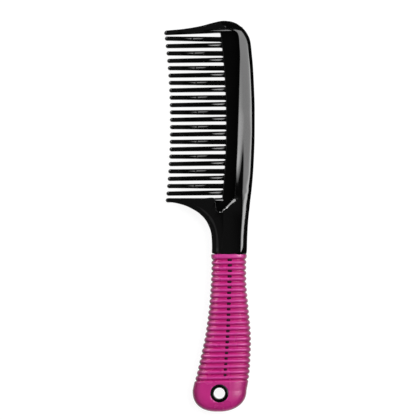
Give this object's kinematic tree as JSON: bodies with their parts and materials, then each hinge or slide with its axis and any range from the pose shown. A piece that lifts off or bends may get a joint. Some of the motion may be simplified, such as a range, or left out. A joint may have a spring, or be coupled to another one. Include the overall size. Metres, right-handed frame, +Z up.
{
  "type": "detangling comb",
  "caption": "Wide detangling hair comb with two rows of staggered teeth, a guard arm at each end and a ribbed soft grip with a hanging hole.",
  "frame": {"origin": "middle of the underside of the comb as it lies flat", "axes": "+Y along the comb from the grip towards the head, +X from the teeth's tips towards the spine, +Z up through the thickness"},
  "size_m": [0.051, 0.22, 0.012],
  "materials": {
    "body": "polished black injection moulding",
    "grip": "satin magenta soft over-mould",
    "eyelet": "smooth black moulding"
  },
  "bodies": {
    "root": {"comb_body": "body", "grip_sleeve": "grip", "hang_eyelet": "eyelet"}
  },
  "joints": []
}
